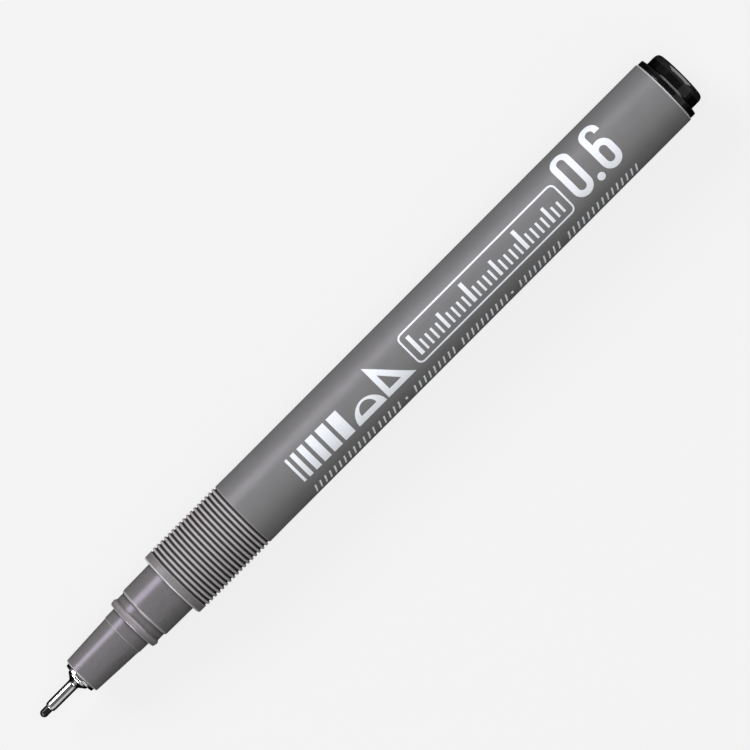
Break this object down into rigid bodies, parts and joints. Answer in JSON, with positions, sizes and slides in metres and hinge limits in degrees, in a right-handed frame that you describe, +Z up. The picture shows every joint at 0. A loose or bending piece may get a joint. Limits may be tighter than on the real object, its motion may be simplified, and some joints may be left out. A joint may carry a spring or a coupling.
{
  "type": "technical pen",
  "caption": "Round fineliner technical pen with a ribbed grip, stepped nose with a cap snap bead, steel-sleeved writing tip and press-in tail plug, without its cap.",
  "frame": {"origin": "on the plane the pen lies on, under the middle of its length, straight below the pen's axis", "axes": "+X along the pen towards the tail plug, with the nib towards -X; +Z up, towards the printed side; +Y to the left when looking from the nib to the tail"},
  "size_m": [0.123, 0.0106, 0.0106],
  "materials": {
    "barrel_grey": "satin moulded polypropylene",
    "nose_grey": "semi-gloss moulded plastic",
    "polished_steel": "polished, with fine turning marks",
    "nib_black": "ink-stained plastic rod",
    "wick_fibre": "bonded fibre, inked",
    "inked_fibre": "soft fibre, soaked with ink",
    "wrap_film": "thin film",
    "plug_black": "glossy moulded plastic"
  },
  "bodies": {
    "barrel": {"barrel": "barrel_grey", "reservoir_core": "inked_fibre", "reservoir_wrap": "wrap_film"},
    "front_unit": {"nose_section": "nose_grey", "nib_holder": "nose_grey", "tip_sleeve": "polished_steel", "nib": "nib_black", "feed_wick": "wick_fibre"},
    "tail_plug": {"tail_plug": "plug_black"}
  },
  "joints": [
    {"name": "front_unit_pull", "type": "slide", "parent": "barrel", "child": "front_unit", "axis": [-1, 0, 0], "range_m": [0, 0.02]},
    {"name": "tail_plug_pull", "type": "slide", "parent": "barrel", "child": "tail_plug", "axis": [1, 0, 0], "range_m": [0, 0.008]}
  ]
}
